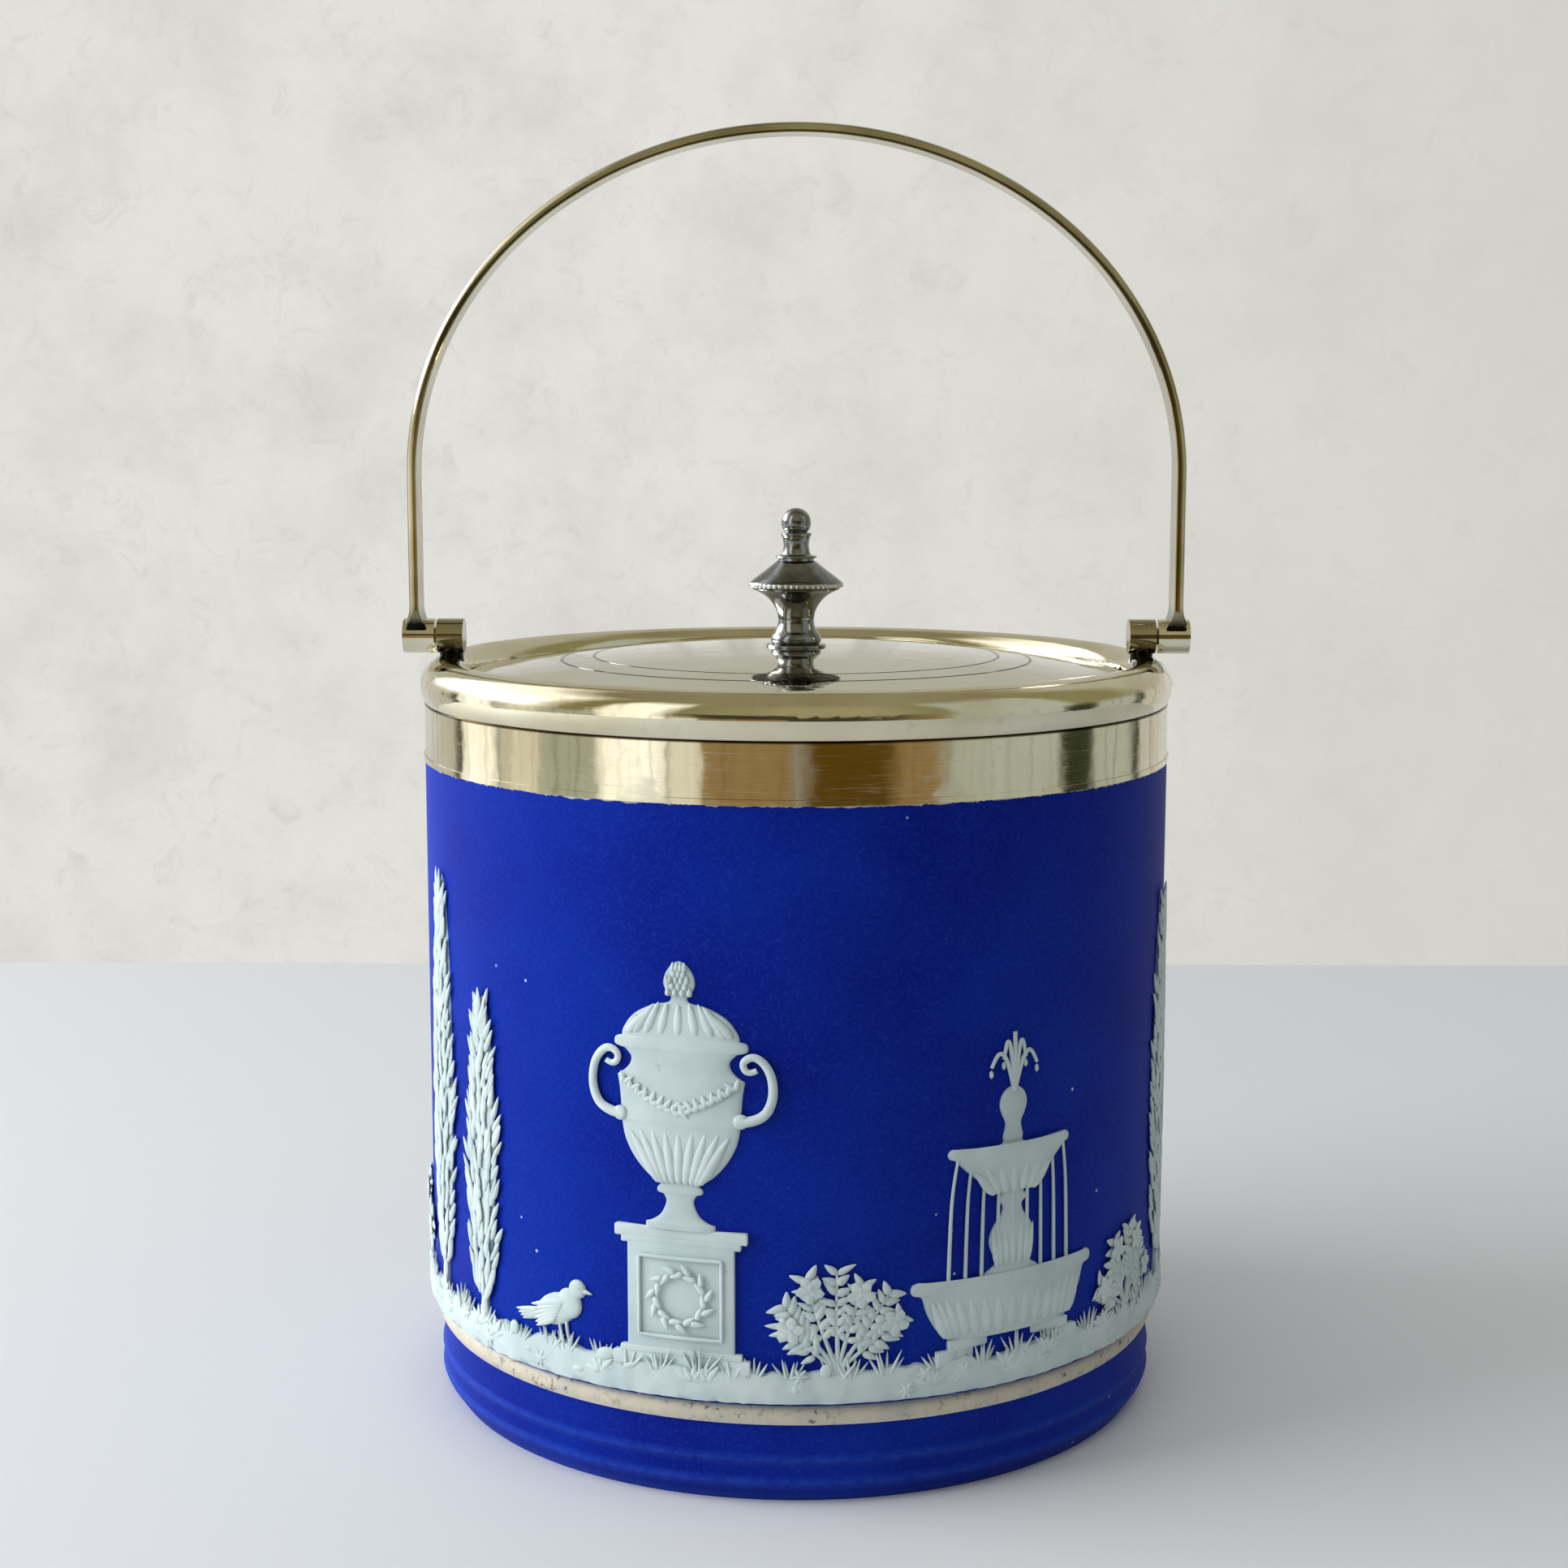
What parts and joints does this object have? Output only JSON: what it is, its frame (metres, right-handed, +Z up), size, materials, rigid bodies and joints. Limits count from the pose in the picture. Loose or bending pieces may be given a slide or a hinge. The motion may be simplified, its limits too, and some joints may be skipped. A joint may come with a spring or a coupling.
{
  "type": "biscuit jar",
  "caption": "Cylindrical stoneware jar with white garden relief, plated metal rim, domed lid with turned finial and an arched swing handle.",
  "frame": {"origin": "centre of the foot, on the surface that the jar stands on", "axes": "+Z up, +X along the handle's hinge axis, front is -Y"},
  "size_m": [0.1352, 0.1298, 0.2156],
  "materials": {
    "blue_stoneware": "matte unglazed stoneware, cobalt blue",
    "white_relief": "matte applied stoneware relief, white",
    "cream_slip": "matte slip band, creamy white",
    "plaster": "plaster bedding",
    "silver_plate": "silver plate on cast and sheet metal, polished and worn",
    "oxidised_silver": "oxidised silver plate on a turned casting",
    "pin_metal": "drawn wire, riveted and filed flush",
    "brass": "plain turned brass"
  },
  "bodies": {
    "jar": {"jar_body": "blue_stoneware", "white_line": "cream_slip", "turf_band": "white_relief", "covered_urn_relief": "white_relief", "fountain_relief": "white_relief", "temple_relief": "white_relief", "lyre_relief": "white_relief", "cypress_relief": "white_relief", "rose_bush_relief": "white_relief", "dove_relief": "white_relief", "rim_cement": "plaster", "collar_band": "silver_plate", "rim_roll": "silver_plate", "seat_ring": "silver_plate", "right_lug": "silver_plate", "left_lug": "silver_plate", "right_hinge_pin": "pin_metal", "left_hinge_pin": "pin_metal"},
    "bail": {"bail_bow": "silver_plate", "right_bail_knuckle": "silver_plate", "left_bail_knuckle": "silver_plate"},
    "lid": {"lid_plate": "silver_plate", "lid_flange": "silver_plate", "finial_stem": "oxidised_silver", "finial_cap": "oxidised_silver", "finial_stud": "brass", "finial_washer": "brass", "finial_nut": "brass"}
  },
  "joints": [
    {"name": "bail_swing", "type": "hinge", "parent": "jar", "child": "bail", "pos_m": [0, 0, 0.1296], "axis": [1, 0, 0], "range_deg": [-104, 104]},
    {"name": "lid_lift", "type": "slide", "parent": "jar", "child": "lid", "axis": [0, 0, 1], "range_m": [0, 0.055]}
  ]
}
